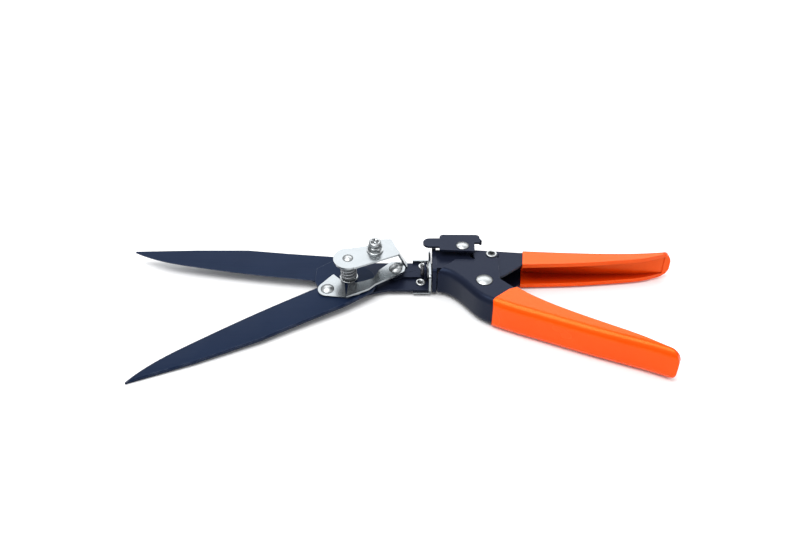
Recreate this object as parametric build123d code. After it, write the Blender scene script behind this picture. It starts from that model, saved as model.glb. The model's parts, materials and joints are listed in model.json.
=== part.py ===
"""Grass shears with a swivelling head.

The frame is +X towards the handle ends, +Y towards the rear handle, +Z up.  Every piece is drawn about the
swivel axis, which runs along X, and the head is then turned about that axis by its rest tilt.
On export all pieces move by ORIGIN, so that the object stands on Z = 0 with its centre over the origin.
"""
import os
from math import atan2, cos, degrees, hypot, radians, sin, sqrt

from build123d import *

# ---- driving dimensions, millimetres and degrees ----
SHEET = 1.4                      # pressed steel of the handles
RUN = 0.2                        # gap between handle flanges that slide on each other
INNER_HALF = 8.4                 # half height of the fixed, inner channel
OUTER_HALF = INNER_HALF + RUN + SHEET
SKIN = 0.9                       # dipped vinyl outside the steel
SKIN_IN = 0.5                    # dipped vinyl inside the channel

PIVOT = (31.3, -21.5)            # handle pivot
DRIVE = (37.5, 3.5)              # drive pin at rest
SQUEEZE = 22.5                   # turn of the front handle, degrees
DRIVE_R = 2.2                    # drive pin shank radius
PIVOT_HOLE = 3.0                 # hole radius of the handle pivot
PIVOT_SHANK = 2.95
BEND = 4.0                       # outer bend radius of the front handle's sheet
LATCH_AT = (19.5, 7.6)           # latch rivet
LATCH_SHANK = 2.0

HEAD_TILT = 4.7                  # rest turn of the head about the swivel axis
BLADE_PIVOT = (-51.5, -5.0)
LINK_A = (-22.3, 0.0)            # link to crosshead
LINK_C = (-46.2, -17.6)          # link to blade, flush crank pin
FOOT_B = (-64.2, -16.3)          # rivet of the blade's foot plate
BRIDGE_SCREW = (-35.0, 2.6)

FIXED_REACH = 141.0              # pivot to tip
MOVING_REACH = 148.0
FIXED_AIM = 10.3                 # blade directions from -X at rest
MOVING_AIM = -34.2
BLADE_T = 2.0
BLADE_PIN = 2.95                 # radius of the blades' pivot pin
PIN_NECK = 2.2                   # its radius through the bridge
NECK_HOLE = 1.6
BLADE_RIVET = 1.75
BRIDGE_HOLE = 1.5
SCREW_R = 2.5
FOOT_HOLE = 2.0
CRANK_R = 2.0

CARRIER_T = 1.6
CARRIER_TOP = -5.4
BLADE_GAP = 0.05
FIXED_BLADE_Z = CARRIER_TOP
MOVING_BLADE_Z = FIXED_BLADE_Z + BLADE_T + BLADE_GAP
BLADE_TOP = MOVING_BLADE_Z + BLADE_T
FOOT_T = 1.2
LINK_Z = 0.0
LINK_T = 1.5
BRIDGE_Z = 13.8
BRIDGE_T = 1.3
NECK_HALF = 12.0                 # half width of the neck plate
CHROME_T = 1.3

ROD_R = 2.4
BUSH_BORE = ROD_R + 0.08
BUSH_R = 4.2

parts = {}


# ---- helpers ----
def face_of(points):
    """Closed outline of straight runs."""
    return make_face(Polyline(*points, close=True))


def slab(face, z_low, z_high):
    """Solid between two heights above a plan outline drawn at Z = 0."""
    return extrude(Pos(0, 0, z_low) * face, z_high - z_low, dir=(0, 0, 1))


def rod_z(x, y, radius, z_low, z_high):
    return Pos(x, y, (z_low + z_high) / 2) * Cylinder(radius, z_high - z_low)


def rod_x(x_low, x_high, radius, y=0.0, z=0.0):
    return Pos((x_low + x_high) / 2, y, z) * Rot(0, 90, 0) * Cylinder(radius, x_high - x_low)


def block(x, y, z):
    """Box from three (low, high) pairs."""
    return Pos(sum(x) / 2, sum(y) / 2, sum(z) / 2) * Box(x[1] - x[0], y[1] - y[0], z[1] - z[0])


def dome(x, y, z, radius, height):
    """Low rivet head that stands on height z."""
    ball = (radius ** 2 + height ** 2) / (2 * height)
    cap = Pos(x, y, z + height - ball) * Sphere(ball)
    return cap & rod_z(x, y, radius + 1, z, z + height + 1)


def disc(x, y, radius):
    return Pos(x, y) * Circle(radius)


def hull_strip(a, b, radius_a, radius_b):
    """Plan outline of a link: two discs and the tangent band between them."""
    d = hypot(b[0] - a[0], b[1] - a[1])
    aim = atan2(b[1] - a[1], b[0] - a[0])
    lean = (radius_a - radius_b) / d
    lift = sqrt(1 - lean ** 2)
    corners = []
    for side in (1, -1):
        nx = cos(aim) * lean - side * sin(aim) * lift
        ny = sin(aim) * lean + side * cos(aim) * lift
        ends = [(a[0] + nx * radius_a, a[1] + ny * radius_a), (b[0] + nx * radius_b, b[1] + ny * radius_b)]
        corners += ends if side == 1 else ends[::-1]
    return face_of(corners) + disc(*a, radius_a) + disc(*b, radius_b)


def coil(radius, wire, length, turns):
    """Compression spring along +Z from 0 to length, wire centre line inset by the wire's radius."""
    pitch = (length - wire) / turns
    path = Pos(0, 0, wire / 2) * Helix(pitch, length - wire, radius)
    section = Plane(origin=path @ 0, z_dir=path % 0) * Circle(wire / 2)
    return sweep(section, path, is_frenet=True)


def group(solids):
    """One shape that holds several separate solids."""
    whole = solids[0]
    for solid in solids[1:]:
        whole += solid
    return whole


def end_round(x_end, half, radius, aim=0.0, about=(0.0, 0.0)):
    """Side view of a handle: a long slab whose far upper and lower corners are round."""
    side = Plane.XZ * (Pos(x_end - 200, 0) * Rectangle(400, 2 * half))
    bar = extrude(side, 200, both=True)
    far = bar.edges().filter_by(Axis.Y).sort_by(Axis.X)[-2:]
    bar = fillet(far, radius)
    return Pos(about[0], about[1], 0) * Rot(0, 0, aim) * bar


# ---- fixed, rear handle: an inner channel that opens towards the front handle ----
REAR_WEB = [(3.0, 11.2), (26, 11.2), (56, 8.2), (80, 6.7), (106, 5.6), (130, 5.8), (150.2, 7.8)]
REAR_LIP = [(150.2, 6.2), (146, 5.4), (138, 2.7), (120, -0.6), (93, -3.3), (56, -4.8)]


def rear_plan():
    """Plan of the rear handle from the collar to its end."""
    back = Spline(*REAR_WEB[2:])
    front = Spline(*REAR_LIP)
    start = Polyline(REAR_LIP[-1], (44.0, -15.0), PIVOT, (8.5, -7.9), (3.0, -7.9), *REAR_WEB[:3])
    return make_face([back, Line(REAR_WEB[-1], REAR_LIP[0]), front, start])


def shifted(points, across, aim):
    """Points moved square to a handle that runs at aim degrees, + towards +Y."""
    a = radians(aim)
    return [(x - across * sin(a), y + across * cos(a)) for x, y in points]


def dipped(web, lip, side, aim, dip):
    """Plan of the vinyl round a handle, its outline grown by the skin, from the dip line on.

    side is +1 where the web is on the handle's +Y side and -1 where it is on the -Y side.
    """
    a = radians(aim)
    back = shifted(web, side * SKIN, aim)
    front = shifted(lip, -side * SKIN, aim)
    back[-1] = (back[-1][0] + SKIN * cos(a), back[-1][1] + SKIN * sin(a))
    front[0] = (front[0][0] + SKIN * cos(a), front[0][1] + SKIN * sin(a))
    whole = make_face([Spline(*back), Line(back[-1], front[0]), Spline(*front), Line(front[-1], back[0])])
    return whole & face_of(dip)


REAR_END = REAR_WEB[-1][0]
REAR_DIP = [(58.2, 14.0), (55.6, -9.0), (170, -30), (170, 30)]


DRIVE_REACH = hypot(DRIVE[0] - PIVOT[0], DRIVE[1] - PIVOT[1])
DRIVE_AIM = degrees(atan2(DRIVE[1] - PIVOT[1], DRIVE[0] - PIVOT[0]))


def about_pivot(angle, reach):
    a = radians(angle)
    return (PIVOT[0] + reach * cos(a), PIVOT[1] + reach * sin(a))


def sector(reach, first, last):
    """Plan of a pie slice about the handle pivot."""
    return disc(*PIVOT, reach) & face_of([PIVOT, about_pivot(first, 2 * reach), about_pivot(last, 2 * reach)])


def slot_for_drive(z_low, z_high):
    """Arc slot that the drive pin runs along."""
    wide = DRIVE_R + 0.35
    low, high = DRIVE_AIM - 1.5, DRIVE_AIM + SQUEEZE + 1.5
    cut = sector(DRIVE_REACH + wide, low, high) - disc(*PIVOT, DRIVE_REACH - wide)
    for angle in (low, high):
        cut += disc(*about_pivot(angle, DRIVE_REACH), wide)
    return slab(cut, z_low, z_high)


def make_fixed_frame():
    half = INNER_HALF
    outside = slab(rear_plan(), -half, half) + rod_z(*PIVOT, 8.0, -half, half)
    bends = outside.edges().filter_by(lambda e: abs(abs(e.center().Z) - half) < 0.01 and e.center().Y > 4
                                      and e.length > 15)
    outside = fillet(bends, 2.0)
    inside_face = make_face(Polyline(
        (2.0, 9.8), (26, 9.8), (56, 6.8), (80, 5.3), (106, 4.2), (130, 4.4), (147.5, 6.0), (160, -8.0),
        (160, -40), (2.0, -40), close=True))
    cavity = slab(inside_face, -(half - SHEET), half - SHEET)
    frame = outside - cavity
    frame = frame & end_round(REAR_END, half, 6.5)
    frame -= slot_for_drive(-half - 1, half + 1)
    frame -= rod_z(*PIVOT, PIVOT_HOLE, -20, 20)
    frame -= rod_z(*LATCH_AT, LATCH_SHANK, 0, 20)
    return frame


def make_fixed_grip():
    half = INNER_HALF + SKIN
    skin = slab(dipped(REAR_WEB[2:], REAR_LIP, 1, 0, REAR_DIP), -half, half)
    bends = skin.edges().filter_by(lambda e: abs(abs(e.center().Z) - half) < 0.01 and e.length > 30
                                   and e.center().Y > 3)
    skin = fillet(bends, 2.4)
    inner = half - SKIN - SHEET - SKIN_IN
    hollow = make_face(Polyline(
        (40, 8.6), (56, 6.3), (80, 4.8), (106, 3.7), (130, 3.9), (146.5, 5.4), (160, -8.0),
        (160, -40), (40, -40), close=True))
    skin -= slab(hollow, -inner, inner)
    skin = skin & end_round(REAR_END + SKIN, half, 7.4)
    return skin - parts["fixed_handle_frame"]


parts["fixed_handle_frame"] = make_fixed_frame()
parts["fixed_grip"] = make_fixed_grip()


# ---- moving, front handle: an outer channel that opens towards the rear handle ----
FRONT_WEB = [(3.6, -12.3), (8.2, -13.4), (12.6, -16.6), (20.4, -26.2), (28.6, -36.6), (37.5, -42.2),
             (57.8, -51.9), (96.8, -69.2), (124, -80.6), (134.2, -85.5)]
FRONT_LIP = [(134.8, -84.1), (131.2, -81.8), (127.4, -79.4), (120.8, -74.8), (99.5, -62.4), (77.4, -50.0),
             (57.5, -36.6), (49.8, -29.7)]
FRONT_DIP = [(55.5, -22.0), (35.2, -39.6), (35.6, -60), (170, -130), (170, -22)]
FRONT_AIM = -27.0
FLANGE_REACH = 28.2              # outer flanges reach this far from the pivot and cover the pin's slot


def front_plan(web, lip, start):
    return make_face([Spline(*web), Line(web[-1], lip[0]), Spline(*lip), Polyline(lip[-1], *start, web[0])])


def front_hollow(half, depth, end):
    """Inside of the front channel, depth in from the web; its web corners are bent like the sheet."""
    web = shifted(FRONT_WEB[:-1], depth, FRONT_AIM) + [end]
    first = (web[0][0] - 8, web[0][1] + 8)
    last = (end[0] + 24, end[1] + 16)
    plan = make_face([Spline(*web), Polyline(end, last, (150, 30), (0, 30), first, web[0])])
    hollow = slab(plan, -half, half)
    bends = hollow.edges().filter_by(lambda e: abs(abs(e.center().Z) - half) < 0.01 and e.length > 80)
    return fillet(bends.sort_by(Axis.Y)[:2], BEND - depth)


def make_moving_frame():
    half = OUTER_HALF
    neck_side = [(40.6, -20.0), (41.4, 0.0), (33.6, 0.4), (30.5, -1.5), (15.0, -1.5)]
    plan = front_plan(FRONT_WEB, FRONT_LIP, neck_side) + sector(FLANGE_REACH, DRIVE_AIM - 9, DRIVE_AIM + 26)
    outside = slab(plan, -half, half)
    bends = outside.edges().filter_by(lambda e: abs(abs(e.center().Z) - half) < 0.01)
    outside = fillet(bends.sort_by(SortBy.LENGTH)[-2:], BEND)
    frame = outside - front_hollow(half - SHEET, SHEET, (131.6, -82.7))
    frame = frame & front_end(half, 6.5, 0.0)
    frame -= rod_z(*PIVOT, PIVOT_HOLE, -20, 20)
    frame -= rod_z(*DRIVE, DRIVE_R, -20, 20)
    return frame


def front_end(half, radius, grow):
    """Rounds the upper and lower corners of the front handle's end."""
    a = radians(FRONT_AIM)
    start = (20.0, -25.0)
    reach = (FRONT_LIP[0][0] - start[0]) * cos(a) + (FRONT_LIP[0][1] - start[1]) * sin(a)
    return end_round(reach + grow, half, radius, FRONT_AIM, start)


def make_moving_grip():
    half = OUTER_HALF + SKIN
    skin = slab(dipped(FRONT_WEB[4:], FRONT_LIP, -1, FRONT_AIM, FRONT_DIP), -half, half)
    edges = skin.edges().filter_by(lambda e: abs(abs(e.center().Z) - half) < 0.01 and e.length > 80)
    skin = fillet(edges.sort_by(Axis.Y)[:2], BEND + SKIN)
    skin -= front_hollow(OUTER_HALF - SHEET - SKIN_IN, SHEET + SKIN_IN, (130.8, -81.8))
    skin = skin & front_end(half, 7.4, SKIN)
    return skin - parts["moving_handle_frame"]


parts["moving_handle_frame"] = make_moving_frame()
parts["moving_grip"] = make_moving_grip()


# ---- handle joint, collar and push rod ----
def make_pivot_rivet():
    """Shouldered rivet: thick in the inner flanges, headed outside the outer ones."""
    shank = rod_z(*PIVOT, PIVOT_SHANK, -OUTER_HALF - 0.1, OUTER_HALF + 0.1)
    head = dome(PIVOT[0], PIVOT[1], OUTER_HALF + 0.1, 5.2, 1.5)
    flat = dome(PIVOT[0], PIVOT[1], OUTER_HALF + 0.1, 5.2, 0.7)
    return shank + head + flat.mirror(Plane.XY)


def make_drive_pin():
    """Hollow rivet fixed in the outer flanges."""
    pin = rod_z(*DRIVE, DRIVE_R, -OUTER_HALF - 0.1, OUTER_HALF + 0.1)
    rim = rod_z(*DRIVE, 3.45, OUTER_HALF, OUTER_HALF + 0.9)
    rim = fillet(rim.edges().filter_by(GeomType.CIRCLE).sort_by(Axis.Z)[-1], 0.6)
    pin = pin + rim + rim.mirror(Plane.XY)
    bore = rod_z(*DRIVE, 1.4, -20, 20)
    return pin - bore


def make_collar():
    plate = block((0.5, 3.0), (-NECK_HALF, NECK_HALF), (-9.3, 9.3))
    plate = fillet(plate.edges().filter_by(Axis.X), 2.2)
    return plate - rod_x(-5, 10, BUSH_R)


def make_bush():
    tube = rod_x(-2.3, 8.2, BUSH_R)
    flange = rod_x(3.0, 4.6, 6.6)
    return tube + flange - rod_x(-10, 20, BUSH_BORE)


def make_lock_ring():
    return rod_x(-2.3, -1.7, 5.2) - rod_x(-5, 5, BUSH_R)


ROD_SEAT = 31.0


def make_push_rod():
    shaft = rod_x(-2.35, 34.0, ROD_R)
    neck = rod_x(-6.6, -2.0, 1.8)
    button = rod_x(-6.6, -4.6, 3.0)
    seat = rod_x(ROD_SEAT, ROD_SEAT + 1.5, 5.8)
    eye = rod_z(DRIVE[0], DRIVE[1] + 0.3, 3.8, -2.0, 2.0)
    arm = slab(face_of([(33.2, -1.9), (38.5, -0.4), (35.5, 6.8), (32.6, 1.6)]), -2.0, 2.0)
    rod = shaft + neck + button + seat + eye + arm
    slot = slab(disc(DRIVE[0], DRIVE[1], DRIVE_R + 0.1) + disc(DRIVE[0], DRIVE[1] + 0.8, DRIVE_R + 0.1)
                + Pos(DRIVE[0], DRIVE[1] + 0.4) * Rectangle(2 * DRIVE_R + 0.2, 0.8), -5, 5)
    return rod - slot


SPRING_FIXED = 8.4


def make_return_spring():
    spring = coil(4.3, 1.1, ROD_SEAT - 0.1 - SPRING_FIXED, 6.5)
    return Pos(SPRING_FIXED, 0, 0) * Rot(0, 90, 0) * spring


parts["handle_pivot_rivet"] = make_pivot_rivet()
parts["drive_pin"] = make_drive_pin()
parts["collar_plate"] = make_collar()
parts["swivel_bush"] = make_bush()
parts["swivel_lock_ring"] = make_lock_ring()
parts["push_rod"] = make_push_rod()
parts["return_spring"] = make_return_spring()


# ---- closing latch on the rear handle ----
LATCH_Z = 12.2
LATCH_T = 1.4
LUG_R = 12.8                     # distance of the lug from the latch rivet
LUG_AIM = 31.0
LUG_LOW = OUTER_HALF + 0.25      # the lug clears the outer flange and stands behind the drive pin's rim


def make_latch():
    x, y = LATCH_AT
    plate = face_of([
        (x - 14.5, y - 4.0), (x + 7.4, y - 5.4), (x + 7.6, y + 3.2), (x + 11.2, y + 3.2),
        (x + 11.2, y + 11.2), (x - 14.0, y + 11.4),
    ])
    plate = fillet(plate.vertices().sort_by(Axis.Y)[-2:], 2.6)
    tab = hull_strip((x - 12, y + 3.4), (x - 20.4, y + 3.4), 4.3, 4.2)
    body = slab(plate + tab, LATCH_Z, LATCH_Z + LATCH_T)
    a = radians(LUG_AIM)
    lug = Pos(x + LUG_R * cos(a), y + LUG_R * sin(a), 0) * Rot(0, 0, LUG_AIM) * Box(
        1.2, 4.0, LATCH_Z + LATCH_T - LUG_LOW, align=(Align.CENTER, Align.CENTER, Align.MIN))
    body += Pos(0, 0, LUG_LOW) * lug
    return body - rod_z(x, y, LATCH_SHANK + 0.05, 0, 20)


def make_latch_rivet():
    x, y = LATCH_AT
    shank = rod_z(x, y, LATCH_SHANK, INNER_HALF - SHEET, LATCH_Z + LATCH_T + 0.1)
    return shank + dome(x, y, LATCH_Z + LATCH_T + 0.1, 4.1, 1.2)


def make_latch_washer():
    return rod_z(*LATCH_AT, 2.8, INNER_HALF, LATCH_Z - 0.1) - rod_z(*LATCH_AT, LATCH_SHANK, 0, 20)


parts["latch"] = make_latch()
parts["latch_rivet"] = make_latch_rivet()
parts["latch_washer"] = make_latch_washer()


# ---- head: drawn level, turned by HEAD_TILT at the end ----
head = {}


def make_swivel_plate():
    web = block((-1.6, -0.3), (-NECK_HALF - 0.5, NECK_HALF + 0.5), (-8.3, 6.0))
    web = fillet(web.edges().filter_by(Axis.X).sort_by(Axis.Z)[-2:], 2.5)
    foot_low = CARRIER_TOP - CARRIER_T - CHROME_T
    foot = block((-11.4, -0.3), (-NECK_HALF - CHROME_T, NECK_HALF + CHROME_T),
                 (foot_low, foot_low + CHROME_T))
    rear_wall = block((-11.4, -1.6), (NECK_HALF + 0.05, NECK_HALF + CHROME_T), (foot_low, -3.4))
    plate = web + foot + rear_wall
    bend = plate.edges().filter_by(Axis.Y).filter_by(
        lambda e: abs(e.center().X + 0.3) < 0.01 and abs(e.center().Z - foot_low) < 0.01)
    plate = fillet(bend, 1.2)
    corners = plate.edges().filter_by(Axis.X).filter_by(
        lambda e: abs(abs(e.center().Y) - NECK_HALF - CHROME_T) < 0.01 and abs(e.center().Z - foot_low) < 0.01)
    plate = fillet(corners, 1.0)
    plate -= rod_x(-5, 5, BUSH_R + 0.06)
    for at in NECK_RIVETS:
        plate -= rod_z(*at, NECK_HOLE, -20, 0)
    return plate


NECK_RIVETS = [(-6.6, -5.6), (-4.9, 9.0)]
BLADE_RIVETS = [(-43.5, -10.5), (-43.0, 3.0), (-60.0, 4.0)]
BRIDGE_RIVET = (-19.2, 9.7)


def make_carrier():
    arm = face_of([(-1.7, -NECK_HALF), (-28, -NECK_HALF), (-40, -15.5), (-52, -16.0),
                   (-62, -9), (-64.5, 2), (-58, 10.5), (-46, 12.5), (-28, NECK_HALF), (-1.7, NECK_HALF)])
    arm = fillet(arm.vertices().sort_by(Axis.X)[2:-4], 4.0)
    plate = slab(arm, CARRIER_TOP - CARRIER_T, CARRIER_TOP)
    plate -= rod_z(*BLADE_PIVOT, BLADE_PIN, -20, 0)
    for at in NECK_RIVETS:
        plate -= rod_z(*at, NECK_HOLE, -20, 0)
    for at in BLADE_RIVETS:
        plate -= rod_z(*at, BLADE_RIVET, -20, 0)
    plate -= rod_z(*BRIDGE_RIVET, BRIDGE_HOLE, -20, 0)
    return plate


def make_neck_rivets():
    """Two hollow rivets that hold the neck plate to the chrome bracket."""
    rivets = []
    low = CARRIER_TOP - CARRIER_T - CHROME_T
    for at in NECK_RIVETS:
        rivet = rod_z(*at, NECK_HOLE, low, CARRIER_TOP)
        rim = rod_z(*at, 3.05, CARRIER_TOP, CARRIER_TOP + 0.8)
        rim = fillet(rim.edges().filter_by(GeomType.CIRCLE).sort_by(Axis.Z)[-1], 0.5)
        rivet = rivet + rim + rod_z(*at, 2.6, low - 0.6, low)
        rivets.append(rivet - rod_z(*at, 1.0, -20, 5))
    return group(rivets)


def blade_plan(reach, root):
    """Plan of a blade about its pivot: the blade runs along -X, its cutting edge is on the -Y side."""
    cutting = Spline((-20, -4.6), (-50, -6.1), (-100 * reach / 145, -6.4), (-reach + 13, -4.0), (-reach, -0.6))
    outer = Polyline((-reach, 0.6), (-reach + 38, 8.6), (-70, 14.6), (-44, 16.2), (-14, 18.6))
    tip = Line((-reach, -0.6), (-reach, 0.6))
    return make_face([cutting, tip, outer, Polyline((-14, 18.6), *root, (-20, -4.6))])


FIXED_ROOT = [(2.0, 17.2), (11.8, 9.0), (11.8, -10.0), (2.0, -11.5), (-10, -8.0)]
MOVING_ROOT = [(6, 18.0), (13.0, 13.5), (15.0, 4.0), (12.0, -7.0), (2.0, -18.6), (-12.5, -18.0), (-19.2, -9.0)]


def make_blade(reach, root, z_low, ground_up):
    plan = blade_plan(reach, root)
    blade = slab(plan, z_low, z_low + BLADE_T)
    level = z_low + BLADE_T if ground_up else z_low
    edge = blade.edges().filter_by(
        lambda e: abs(e.center().Z - level) < 0.01 and e.length > 90 and e.center().Y < -2)
    blade = chamfer(edge, BLADE_T * 0.8, 2.6, reference=blade.faces().filter_by(
        lambda f: abs(f.normal_at().Z) < 0.3 and f.center().Y < -2).sort_by(SortBy.AREA)[-1])
    shoulder = blade.edges().filter_by(
        lambda e: abs(e.center().Z - level) < 0.01 and e.length > 20 and e.center().Y > 2)
    return chamfer(shoulder, 0.5)


def make_fixed_blade():
    blade = make_blade(FIXED_REACH, FIXED_ROOT, 0, False)
    blade = Pos(*BLADE_PIVOT, FIXED_BLADE_Z) * Rot(0, 0, -FIXED_AIM) * blade
    blade -= rod_z(*BLADE_PIVOT, BLADE_PIN, -20, 20)
    for at in BLADE_RIVETS:
        blade -= rod_z(*at, BLADE_RIVET, -20, 20)
        blade -= Pos(*at, FIXED_BLADE_Z + BLADE_T - 0.5) * Cone(BLADE_RIVET, 2.8, 1.0)
    return blade


def make_blade_rivets():
    rivets = []
    low = CARRIER_TOP - CARRIER_T
    top = FIXED_BLADE_Z + BLADE_T
    for at in BLADE_RIVETS:
        shank = rod_z(*at, BLADE_RIVET, low, top - 0.05)
        head_below = Pos(0, 0, low) * dome(*at, 0, 3.0, 0.9).mirror(Plane.XY)
        sunk = Pos(*at, top - 0.5) * Cone(BLADE_RIVET, 2.8, 1.0)
        rivets.append(shank + head_below + (sunk & rod_z(*at, 5, -20, top - 0.05)))
    return group(rivets)


def make_moving_blade():
    blade = make_blade(MOVING_REACH, MOVING_ROOT, 0, True).mirror(Plane.XZ)
    blade = Pos(*BLADE_PIVOT, MOVING_BLADE_Z) * Rot(0, 0, -MOVING_AIM) * blade
    blade -= rod_z(*BLADE_PIVOT, BLADE_PIN + 0.07, -20, 20)
    blade -= rod_z(*FOOT_B, FOOT_HOLE, -20, 20)
    return blade - rod_z(*LINK_C, CRANK_R + CRANK_PLAY, -20, 20)


FOOT_PEAK = (-61.2, -4.4)
FOOT_R = 5.9                     # round end of the foot plate about its rivet
FOOT_SIDE = [(-60.9, -3.8), (-53.8, -11.0), (-52.6, -23.6), (-64.2, -22.2)]


def make_foot_plate():
    """Bright plate riveted to the front blade beside its pivot."""
    plan = hull_strip(FOOT_B, FOOT_PEAK, FOOT_R, 0.7) + face_of(FOOT_SIDE)
    plate = slab(plan, BLADE_TOP, BLADE_TOP + FOOT_T)
    return plate - rod_z(*FOOT_B, FOOT_HOLE, -20, 20)


def make_foot_rivet():
    shank = rod_z(*FOOT_B, FOOT_HOLE, MOVING_BLADE_Z + 0.05, BLADE_TOP + FOOT_T + 0.1)
    return shank + dome(*FOOT_B, BLADE_TOP + FOOT_T, 4.2, 1.7)


CRANK_PLAY = 0.9                 # play of the crank pin in the front blade
PIN_SINK = 0.8                   # how far the crank pin stands in the link


def make_crank_pin():
    """Pin pressed into the link from below, where it doesn't show; it pushes the front blade round."""
    return rod_z(*LINK_C, CRANK_R, MOVING_BLADE_Z + 0.05, LINK_Z + PIN_SINK)


# The rear edge passes in front of the pivot pin and its spring at every place of the slide.
LINK_PLAN = [(-52.2, -24.6), (-38.6, -17.6), (-34.6, -13.4), (-28.6, -9.6), (-22.3, -6.2), (-17.0, -2.8),
             (-16.1, 1.4), (-19.2, 5.2), (-25.4, 6.0), (-32.6, -1.4), (-36.0, -8.6), (-42.0, -11.2),
             (-51.6, -13.6)]


def make_link():
    plan = face_of(LINK_PLAN)
    plan = fillet(plan.vertices().sort_by(Axis.X)[-5:], 2.5)
    link = slab(plan, LINK_Z, LINK_Z + LINK_T)
    link -= rod_z(*LINK_A, 2.25, -20, 20)
    return link - rod_z(*LINK_C, CRANK_R, LINK_Z - 1, LINK_Z + PIN_SINK)


BAR_Y = (-2.2, 5.4)


def make_crosshead():
    """Dark slider: a bar on the neck plate with an upstand round the rod's button."""
    low = CARRIER_TOP + 0.1
    bar = block((-22.3, -2.9), BAR_Y, (low, low + 1.5))
    eye = rod_z(*LINK_A, 4.6, low, low + 1.5)
    stem = block((-4.4, -2.9), BAR_Y, (low, 0))
    stand = block((-4.4, -2.9), (-4.4, 4.4), (-4.0, 4.2))
    stand = stem + fillet(stand.edges().filter_by(Axis.X).sort_by(Axis.Z)[-2:], 2.4)
    post = rod_z(*LINK_A, 3.4, low + 1.0, LINK_Z - 0.1)
    slide = bar + eye + stand + post
    slide -= rod_x(-10, 0, 1.9)
    return slide - rod_z(*LINK_A, 2.15, -20, 20)


def make_link_rivet():
    low = CARRIER_TOP + 0.12
    shank = rod_z(*LINK_A, 2.15, low, LINK_Z + LINK_T + 0.15)
    return shank + dome(*LINK_A, LINK_Z + LINK_T + 0.1, 4.2, 1.9)


def bridge_plan():
    x, y = BLADE_PIVOT
    plate = face_of([(x + 3.9, y - 8.6), (-19.5, -1.2), (-24.9, 12.4), (-31.6, 12.4), (-40.4, 6.0),
                     (x + 1.0, y + 8.9)])
    plate = fillet(plate.vertices().sort_by(Axis.X)[-1:], 1.2)
    return plate + disc(x, y, 9.0)


def make_bridge():
    top = slab(bridge_plan(), BRIDGE_Z, BRIDGE_Z + BRIDGE_T)
    high = face_of([(-20.7, 1.8), (-24.9, 12.4), (-26.2, 12.0), (-22.0, 1.3)])
    low = face_of([(-14.8, 7.4), (-14.8, 12.0), (-16.1, 12.0), (-16.1, 7.4)])
    leg = loft([Pos(0, 0, CARRIER_TOP) * low, Pos(0, 0, BRIDGE_Z + 0.2) * high], ruled=True)
    tab = block((-22.6, -15.0), (7.4, 12.0), (CARRIER_TOP, CARRIER_TOP + BRIDGE_T))
    bridge = top + leg + tab
    bridge -= rod_z(*BLADE_PIVOT, PIN_NECK, 0, 30)
    bridge -= rod_z(*BRIDGE_SCREW, SCREW_R, 0, 30)
    return bridge - rod_z(*BRIDGE_RIVET, BRIDGE_HOLE, -20, 0)


def make_bridge_rivet():
    low = CARRIER_TOP - CARRIER_T
    shank = rod_z(*BRIDGE_RIVET, BRIDGE_HOLE, low - 0.1, CARRIER_TOP + BRIDGE_T + 0.1)
    return shank + dome(*BRIDGE_RIVET, CARRIER_TOP + BRIDGE_T, 2.0, 0.9)


def make_pivot_pin():
    """Stepped pin of the blades, riveted over the bridge and under the carrier."""
    low = CARRIER_TOP - CARRIER_T
    lower = rod_z(*BLADE_PIVOT, BLADE_PIN, low, BRIDGE_Z)
    upper = rod_z(*BLADE_PIVOT, PIN_NECK, BRIDGE_Z, BRIDGE_Z + BRIDGE_T + 0.1)
    top = dome(*BLADE_PIVOT, BRIDGE_Z + BRIDGE_T, 3.3, 1.3)
    bottom = Pos(0, 0, low) * dome(*BLADE_PIVOT, 0, 4.6, 1.2).mirror(Plane.XY)
    return lower + upper + top + bottom


WASHER_Z = BLADE_TOP + BLADE_GAP


def make_spring_washer():
    return rod_z(*BLADE_PIVOT, 5.6, WASHER_Z, WASHER_Z + 0.8) - rod_z(*BLADE_PIVOT, BLADE_PIN, -20, 20)


def make_tension_spring():
    low = WASHER_Z + 0.8
    return Pos(*BLADE_PIVOT, low) * coil(4.5, 1.3, BRIDGE_Z - low, 5)


def hexagon(across_flats):
    return RegularPolygon(across_flats / 2, 6, major_radius=False)


SCREW_TOP = BRIDGE_Z + BRIDGE_T
NUT_TOP = 4.0                    # height of washer and nut together
NUT_FLATS = 8.0                  # M5


def make_bolt_washer():
    return rod_z(*BRIDGE_SCREW, 5.2, SCREW_TOP, SCREW_TOP + 0.8) - rod_z(*BRIDGE_SCREW, SCREW_R, 0, 30)


def make_lock_nut():
    x, y = BRIDGE_SCREW
    nut = slab(Pos(x, y) * Rot(0, 0, 12) * hexagon(NUT_FLATS), SCREW_TOP + 0.8, SCREW_TOP + NUT_TOP)
    corners = rod_z(x, y, 0.57 * NUT_FLATS, SCREW_TOP, SCREW_TOP + NUT_TOP)
    corners = chamfer(corners.edges().filter_by(GeomType.CIRCLE).sort_by(Axis.Z)[-1], 0.5)
    return (nut & corners) - rod_z(x, y, SCREW_R, 0, 40)


def make_adjusting_bolt():
    """Screw with a domed head and a cross recess; its tail ends above the link's rivet."""
    x, y = BRIDGE_SCREW
    base = SCREW_TOP + NUT_TOP
    shank = rod_z(x, y, SCREW_R, 6.2, base)
    head_shape = rod_z(x, y, 3.9, base, base + 3.0)
    head_shape = fillet(head_shape.edges().filter_by(GeomType.CIRCLE).sort_by(Axis.Z)[-1], 1.1)
    bolt = shank + head_shape
    for angle in (20, 110):
        bolt -= Pos(x, y, base + 3.0) * Rot(0, 0, angle) * Box(4.8, 1.3, 3.2)
    return bolt


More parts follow.
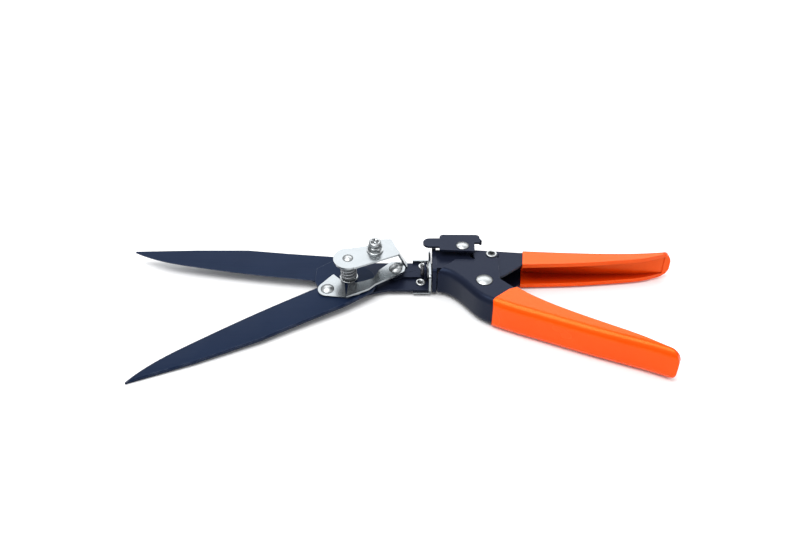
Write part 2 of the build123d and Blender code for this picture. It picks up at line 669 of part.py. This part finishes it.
head["swivel_plate"] = make_swivel_plate()
head["head_carrier"] = make_carrier()
head["neck_rivets"] = make_neck_rivets()
head["fixed_blade"] = make_fixed_blade()
head["fixed_blade_rivets"] = make_blade_rivets()
head["moving_blade"] = make_moving_blade()
head["blade_foot_plate"] = make_foot_plate()
head["foot_rivet"] = make_foot_rivet()
head["crank_pin"] = make_crank_pin()
head["drive_link"] = make_link()
head["crosshead"] = make_crosshead()
head["link_rivet"] = make_link_rivet()
head["pressure_bridge"] = make_bridge()
head["bridge_rivet"] = make_bridge_rivet()
head["blade_pivot_pin"] = make_pivot_pin()
head["spring_washer"] = make_spring_washer()
head["tension_spring"] = make_tension_spring()
head["bolt_washer"] = make_bolt_washer()
head["lock_nut"] = make_lock_nut()
head["adjusting_bolt"] = make_adjusting_bolt()

for name, shape in head.items():
    parts[name] = Rot(HEAD_TILT, 0, 0) * shape


# ---- place and write ----
def export_all():
    boxes = [shape.bounding_box() for shape in parts.values()]
    low = [min(b.min.X for b in boxes), min(b.min.Y for b in boxes), min(b.min.Z for b in boxes)]
    high = [max(b.max.X for b in boxes), max(b.max.Y for b in boxes), max(b.max.Z for b in boxes)]
    origin = ((low[0] + high[0]) / 2, (low[1] + high[1]) / 2, low[2])
    print("origin", [round(v, 4) for v in origin])
    os.makedirs("parts", exist_ok=True)
    for name, shape in parts.items():
        export_step(Pos(-origin[0], -origin[1], -origin[2]) * shape, f"parts/{name}.step")


export_all()
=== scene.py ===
"""Looks of the grass shears: camera, light, materials, rounded edges and a copy of the return spring."""
import json
import math

import bpy
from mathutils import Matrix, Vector


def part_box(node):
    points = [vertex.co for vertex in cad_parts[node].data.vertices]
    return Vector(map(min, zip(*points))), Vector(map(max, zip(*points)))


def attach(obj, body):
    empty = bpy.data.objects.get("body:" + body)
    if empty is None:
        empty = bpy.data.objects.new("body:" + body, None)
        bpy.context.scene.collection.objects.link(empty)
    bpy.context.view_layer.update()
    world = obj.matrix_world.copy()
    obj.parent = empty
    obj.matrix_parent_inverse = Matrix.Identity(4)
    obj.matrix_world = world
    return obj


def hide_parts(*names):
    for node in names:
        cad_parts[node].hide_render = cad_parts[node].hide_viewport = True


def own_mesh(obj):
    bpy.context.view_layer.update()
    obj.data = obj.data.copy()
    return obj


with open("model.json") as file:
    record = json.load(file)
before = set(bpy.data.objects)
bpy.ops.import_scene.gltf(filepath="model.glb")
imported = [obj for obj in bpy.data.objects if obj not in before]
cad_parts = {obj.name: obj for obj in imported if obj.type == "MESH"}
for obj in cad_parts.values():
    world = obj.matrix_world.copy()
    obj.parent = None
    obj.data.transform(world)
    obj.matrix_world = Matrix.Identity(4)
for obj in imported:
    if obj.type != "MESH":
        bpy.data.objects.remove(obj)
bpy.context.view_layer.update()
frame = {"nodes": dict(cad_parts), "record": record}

MM = 0.001
NODES = frame["nodes"]

# Camera: where it looks, seen from the middle of the collar plate, in metres
TARGET_SHIFT = (-0.0213, -0.0096)
CAMERA_DISTANCE = 0.558
CAMERA_DOWN = math.radians(40)
CAMERA_LENS = 40.5
CAMERA_SENSOR = 36

# Soft boxes: name, place in metres, size in metres, power in watts
SOFT_BOXES = (
    ("back_box", (0.05, 0.95, 0.85), (1.5, 0.7), 6.5),      # behind, for gloss on the upper faces
    ("top_box", (-0.25, -0.15, 1.2), (0.9, 0.9), 13.0),     # overhead
)

FLOOR_SIZE = 6
PAPER = (0.92, 0.92, 0.92)

# Room: brightness by the sine of the height above the horizon, dark low down and white above
ROOM_TINT = (0.97, 0.98, 1.0)
ROOM_DARK_BELOW, ROOM_WHITE_ABOVE = 0.10, 0.40
ROOM_DARK, ROOM_WHITE = 0.04, 0.76

# Rounded edges by material slot, in millimetres
ROUNDING = {"grip_vinyl": 0.35, "frame_paint": 0.22, "bright_plate": 0.18, "blade_coating": 0.06}
ROUNDING_SEGMENTS = 3
ROUNDED_FROM = math.radians(35)
WELD_MM = 0.004

WEAR_RADIUS = 0.0005


# ---- camera and light ----
def aim(obj, at):
    obj.rotation_euler = (Vector(at) - obj.location).to_track_quat("-Z", "Y").to_euler()


def add_camera():
    """Looks down at the swivel, from the front."""
    low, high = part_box("collar_plate")
    target = (low + high) / 2 + Vector((*TARGET_SHIFT, 0))
    data = bpy.data.cameras.new("camera")
    data.lens = CAMERA_LENS
    data.sensor_width = CAMERA_SENSOR
    camera = bpy.data.objects.new("camera", data)
    camera.location = target + CAMERA_DISTANCE * Vector((0, -math.cos(CAMERA_DOWN), math.sin(CAMERA_DOWN)))
    aim(camera, target)
    bpy.context.scene.collection.objects.link(camera)
    bpy.context.scene.camera = camera


def add_soft_box(name, place, size, power):
    data = bpy.data.lights.new(name, "AREA")
    data.shape = "RECTANGLE"
    data.size, data.size_y = size
    data.energy = power
    lamp = bpy.data.objects.new(name, data)
    lamp.location = place
    aim(lamp, (0, 0, 0))
    bpy.context.scene.collection.objects.link(lamp)


def add_floor():
    """White paper."""
    bpy.ops.mesh.primitive_plane_add(size=FLOOR_SIZE, location=(0, 0, 0))
    floor = bpy.context.object
    floor.name = "floor"
    paper = bpy.data.materials.new("floor_paper")
    paper.use_nodes = True
    shader = paper.node_tree.nodes["Principled BSDF"]
    shader.inputs["Base Color"].default_value = colour(*PAPER)
    shader.inputs["Roughness"].default_value = 0.9
    shader.inputs["Specular IOR Level"].default_value = 0.1
    floor.data.materials.append(paper)


def add_room():
    """A white room, dark low down so that bright metal shows outlines. The camera itself sees white."""
    world = bpy.data.worlds.new("studio")
    world.use_nodes = True
    tree = world.node_tree
    background = tree.nodes["Background"]
    place = tree.nodes.new("ShaderNodeTexCoord")
    split = tree.nodes.new("ShaderNodeSeparateXYZ")
    rise = tree.nodes.new("ShaderNodeMapRange")
    seen = tree.nodes.new("ShaderNodeLightPath")
    level = tree.nodes.new("ShaderNodeMath")
    rise.inputs["From Min"].default_value = ROOM_DARK_BELOW
    rise.inputs["From Max"].default_value = ROOM_WHITE_ABOVE
    rise.inputs["To Min"].default_value = ROOM_DARK
    rise.inputs["To Max"].default_value = ROOM_WHITE
    level.operation = "MAXIMUM"
    background.inputs["Color"].default_value = colour(*ROOM_TINT)
    tree.links.new(place.outputs["Generated"], split.inputs[0])
    tree.links.new(split.outputs["Z"], rise.inputs["Value"])
    tree.links.new(rise.outputs[0], level.inputs[0])
    tree.links.new(seen.outputs["Is Camera Ray"], level.inputs[1])
    tree.links.new(level.outputs[0], background.inputs["Strength"])
    bpy.context.scene.world = world
    bpy.context.scene.view_settings.view_transform = "Standard"


# ---- material tools ----
def colour(r, g, b):
    return (r, g, b, 1)


def shade(tint, share):
    """The tint, darkened to that share."""
    return colour(*(share * c for c in tint))


class Nodes:
    """Short names for building a node material."""

    def __init__(self, name):
        self.material = bpy.data.materials.new(name)
        self.material.use_nodes = True
        self.tree = self.material.node_tree
        self.shader = self.tree.nodes["Principled BSDF"]
        self.place = self.tree.nodes.new("ShaderNodeTexCoord").outputs["Object"]

    def plug(self, socket, source):
        """Links another node's output, or sets a plain value."""
        if hasattr(source, "is_output"):
            self.tree.links.new(source, socket)
        else:
            socket.default_value = source

    def add(self, kind, links, **settings):
        node = self.tree.nodes.new(kind)
        for key, value in settings.items():
            setattr(node, key, value)
        for socket, source in links.items():
            self.plug(node.inputs[socket], source)
        return node

    def put(self, socket, source):
        self.plug(self.shader.inputs[socket], source)

    def gloss(self, level, tint):
        self.shader.inputs["Specular IOR Level"].default_value = level
        self.shader.inputs["Specular Tint"].default_value = colour(*tint)

    def noise(self, scale, detail, stretch=(1, 1, 1)):
        mapping = self.add("ShaderNodeMapping", {"Vector": self.place, "Scale": stretch})
        links = {"Vector": mapping.outputs[0], "Scale": scale, "Detail": detail, "Roughness": 0.5}
        return self.add("ShaderNodeTexNoise", links).outputs["Fac"]

    def ramp(self, value, low, high, out_low=0.0, out_high=1.0):
        links = {"Value": value, "From Min": low, "From Max": high, "To Min": out_low, "To Max": out_high}
        return self.add("ShaderNodeMapRange", links, clamp=True).outputs[0]

    def blend(self, fac, a, b):
        """Colour a where fac is 0, b where it is 1."""
        return self.add("ShaderNodeMix", {0: fac, 6: a, 7: b}, data_type="RGBA").outputs[2]

    def math(self, kind, a, b):
        return self.add("ShaderNodeMath", {0: a, 1: b}, operation=kind).outputs[0]

    def edges(self, radius):
        """1 near convex or concave edges, 0 on flat faces."""
        soft = self.add("ShaderNodeBevel", {"Radius": radius}, samples=4).outputs[0]
        hard = self.add("ShaderNodeNewGeometry", {}).outputs["Normal"]
        dot = self.add("ShaderNodeVectorMath", {0: soft, 1: hard}, operation="DOT_PRODUCT").outputs["Value"]
        return self.ramp(dot, 0.995, 0.85)

    def worn(self, scale, low, high, share):
        """Patchy wear along the edges, up to that share."""
        patches = self.ramp(self.noise(scale, 4), low, high)
        return self.math("MULTIPLY", self.math("MULTIPLY", self.edges(WEAR_RADIUS), patches), share)

    def painted_channel_shade(self, reach):
        """Painted shade mask: 1 deep inside the node's own channel, where shade falls, 0 in the open."""
        open_sky = self.add("ShaderNodeAmbientOcclusion", {"Distance": reach}, samples=8, only_local=True)
        return self.ramp(open_sky.outputs["AO"], 0.85, 0.35)

    def bump(self, height, strength, distance):
        node = self.add("ShaderNodeBump", {"Height": height, "Strength": strength, "Distance": distance})
        self.put("Normal", node.outputs[0])


# ---- materials ----
def make_frame_paint():
    """Satin blue-black stoved paint, slightly cloudy, rubbed along its edges."""
    n = Nodes("frame_paint")
    cloud = n.noise(60, 4)
    base = n.blend(cloud, colour(0.0060, 0.0080, 0.0170), colour(0.0100, 0.0125, 0.0250))
    n.put("Base Color", n.blend(n.worn(220, 0.45, 0.62, 0.35), base, colour(0.13, 0.14, 0.17)))
    n.put("Roughness", n.ramp(cloud, 0.0, 1.0, 0.22, 0.42))
    n.gloss(0.17, (0.42, 0.58, 1.0))
    n.bump(n.math("ADD", n.math("MULTIPLY", n.noise(900, 2), 0.5), n.noise(380, 2)), 0.16, 0.0002)
    return n.material


def make_blade_coating():
    """Satin navy coating with fine lines along the blade and bright steel at its rubbed edges."""
    n = Nodes("blade_coating")
    grind = n.noise(900, 2, stretch=(0.03, 1, 1))
    base = n.blend(n.noise(35, 5), colour(0.0040, 0.0085, 0.0240), colour(0.0075, 0.0145, 0.0380))
    n.put("Base Color", n.blend(n.worn(180, 0.35, 0.6, 0.5), base, colour(0.24, 0.27, 0.33)))
    n.put("Roughness", n.ramp(grind, 0.3, 0.7, 0.34, 0.46))
    n.gloss(0.15, (0.34, 0.56, 1.0))
    n.bump(grind, 0.12, 0.0001)
    return n.material


def make_grip_vinyl():
    """Glossy dipped vinyl, with painted shade: a deep red painted into the colour inside the channel, where
    it lies in shade.
    """
    n = Nodes("grip_vinyl")
    cloud = n.noise(28, 3)
    skin = n.blend(cloud, colour(0.90, 0.060, 0.001), colour(0.95, 0.078, 0.001))
    # painted shade: the colour turns deep red inside the channel, standing in for the shade there
    n.put("Base Color", n.blend(n.painted_channel_shade(0.016), skin, colour(0.30, 0.004, 0.0005)))
    n.put("Roughness", n.ramp(cloud, 0.0, 1.0, 0.18, 0.32))
    n.gloss(0.55, (1.0, 0.76, 0.18))
    n.bump(n.noise(140, 2), 0.18, 0.0005)
    return n.material


def make_chrome(name, rough, tint, ripple):
    """Plated metal with faint smears and ripples."""
    n = Nodes(name)
    smear = n.noise(70, 4)
    n.put("Metallic", 1.0)
    n.put("Base Color", n.blend(smear, colour(*tint), shade(tint, 0.93)))
    n.put("Roughness", n.ramp(smear, 0.0, 1.0, rough, rough + 0.16))
    n.bump(n.noise(260, 2), ripple, 0.0003)
    return n.material


def make_turned(name, tint, rough):
    """Machined or drawn metal with fine lines round it."""
    n = Nodes(name)
    lines = n.noise(1600, 1, stretch=(1, 1, 0.08))
    n.put("Metallic", 1.0)
    n.put("Base Color", n.blend(n.noise(120, 3), colour(*tint), shade(tint, 0.8)))
    n.put("Roughness", n.ramp(lines, 0.3, 0.7, rough, rough + 0.15))
    n.bump(lines, 0.03, 0.0001)
    return n.material


MATERIALS = {
    "frame_paint": make_frame_paint(),
    "blade_coating": make_blade_coating(),
    "grip_vinyl": make_grip_vinyl(),
    "bright_plate": make_chrome("bright_plate", 0.17, (0.345, 0.37, 0.385), 0.12),
    "bright_rivet": make_chrome("bright_rivet", 0.26, (0.47, 0.49, 0.495), 0.08),
    "zinc_hardware": make_turned("zinc_hardware", (0.40, 0.42, 0.43), 0.16),
    "spring_steel": make_turned("spring_steel", (0.40, 0.41, 0.43), 0.22),
    "bare_steel": make_turned("bare_steel", (0.10, 0.10, 0.11), 0.34),
}


# ---- pieces ----
def dress_nodes():
    """Gives every CAD node its slot's material and smooth shading, and small rounded edges where its slot is
    listed in ROUNDING.
    """
    for entry in frame["record"]["subparts"]:
        node, slot = NODES[entry["node"]], entry["material_slot"]
        node.data.materials.clear()
        node.data.materials.append(MATERIALS[slot])
        weld = node.modifiers.new("weld", "WELD")
        weld.merge_threshold = WELD_MM * MM
        if slot in ROUNDING:
            bevel = node.modifiers.new("bevel", "BEVEL")
            bevel.width = ROUNDING[slot] * MM
            bevel.segments = ROUNDING_SEGMENTS
            bevel.limit_method = "ANGLE"
            bevel.angle_limit = ROUNDED_FROM
        for polygon in node.data.polygons:
            polygon.use_smooth = True
        normals = node.modifiers.new("normals", "WEIGHTED_NORMAL")
        normals.keep_sharp = True


def press_return_spring():
    """A copy of the return spring, attached to the fixed handle in place of the CAD node, which is hidden.
    """
    spring = NODES["return_spring"].copy()
    spring.data = spring.data.copy()
    spring.name = "return_spring_coil"
    bpy.context.scene.collection.objects.link(spring)
    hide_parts("return_spring")
    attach(spring, "fixed_handle")
    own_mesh(spring)


add_camera()
add_floor()
add_room()
for box in SOFT_BOXES:
    add_soft_box(*box)
dress_nodes()
press_return_spring()
